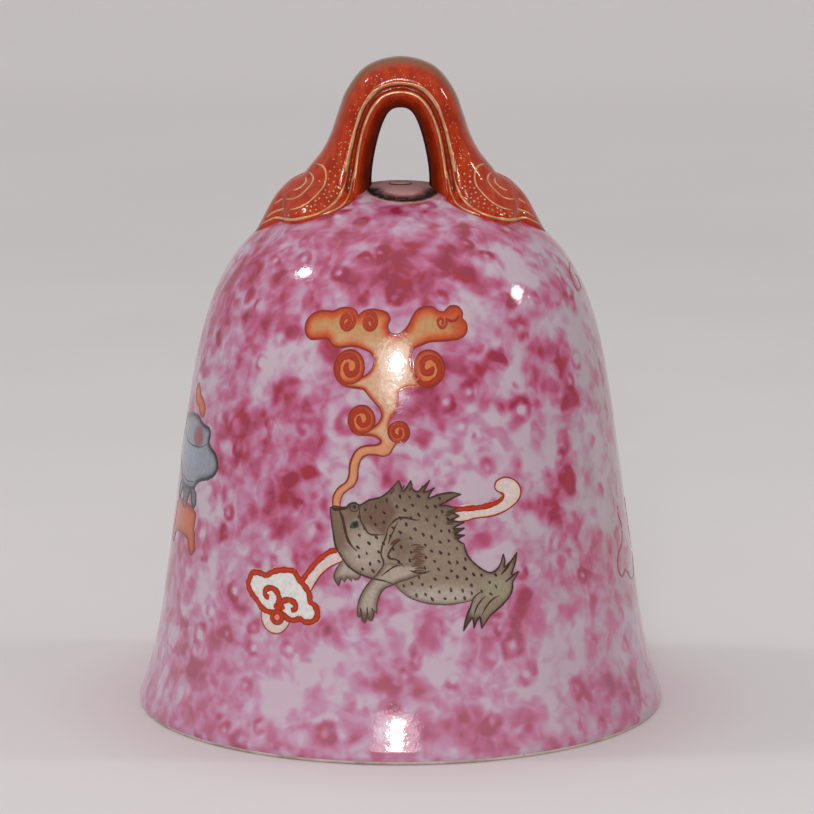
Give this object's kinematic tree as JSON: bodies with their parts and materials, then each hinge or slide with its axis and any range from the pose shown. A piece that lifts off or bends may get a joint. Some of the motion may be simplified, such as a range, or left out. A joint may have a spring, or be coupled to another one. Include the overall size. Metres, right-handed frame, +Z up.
{
  "type": "porcelain hand bell",
  "caption": "Flared porcelain bell with a loop handle on its crown, a mottled rose ground with painted motifs, and a clapper that hangs and swings inside.",
  "frame": {"origin": "centre of the mouth, on the plane that the lip rests on", "axes": "+Z up along the bell's axis, +X along the plane of the handle's arch, -Y towards the side painted with the toad"},
  "size_m": [0.086, 0.086, 0.1063],
  "materials": {
    "rose_enamel": "glossy porcelain glaze, mottled rose and white enamel outside, plain white inside",
    "iron_red_enamel": "glossy iron-red enamel with gilt lines and dots",
    "brown_leather": "matt, cut edge",
    "dark_iron": "dark forged wire, dull",
    "rosewood": "turned and waxed",
    "old_brass": "dull, lightly tarnished"
  },
  "bodies": {
    "bell": {"bell_shell": "rose_enamel", "loop_handle": "iron_red_enamel", "buffer_washer": "brown_leather"},
    "hanger": {"hanger_pin": "dark_iron"},
    "clapper": {"clapper_stem": "dark_iron", "clapper_bob": "rosewood", "end_washer": "old_brass", "stem_collar": "old_brass"}
  },
  "joints": [
    {"name": "hanger_swivel", "type": "hinge", "parent": "bell", "child": "hanger", "pos_m": [0, 0, 0.0862], "axis": [0, 0, 1], "continuous": true},
    {"name": "clapper_swing", "type": "hinge", "parent": "hanger", "child": "clapper", "pos_m": [0, 0, 0.0734], "axis": [1, 0, 0], "range_deg": [-29.6, 29.6]}
  ]
}
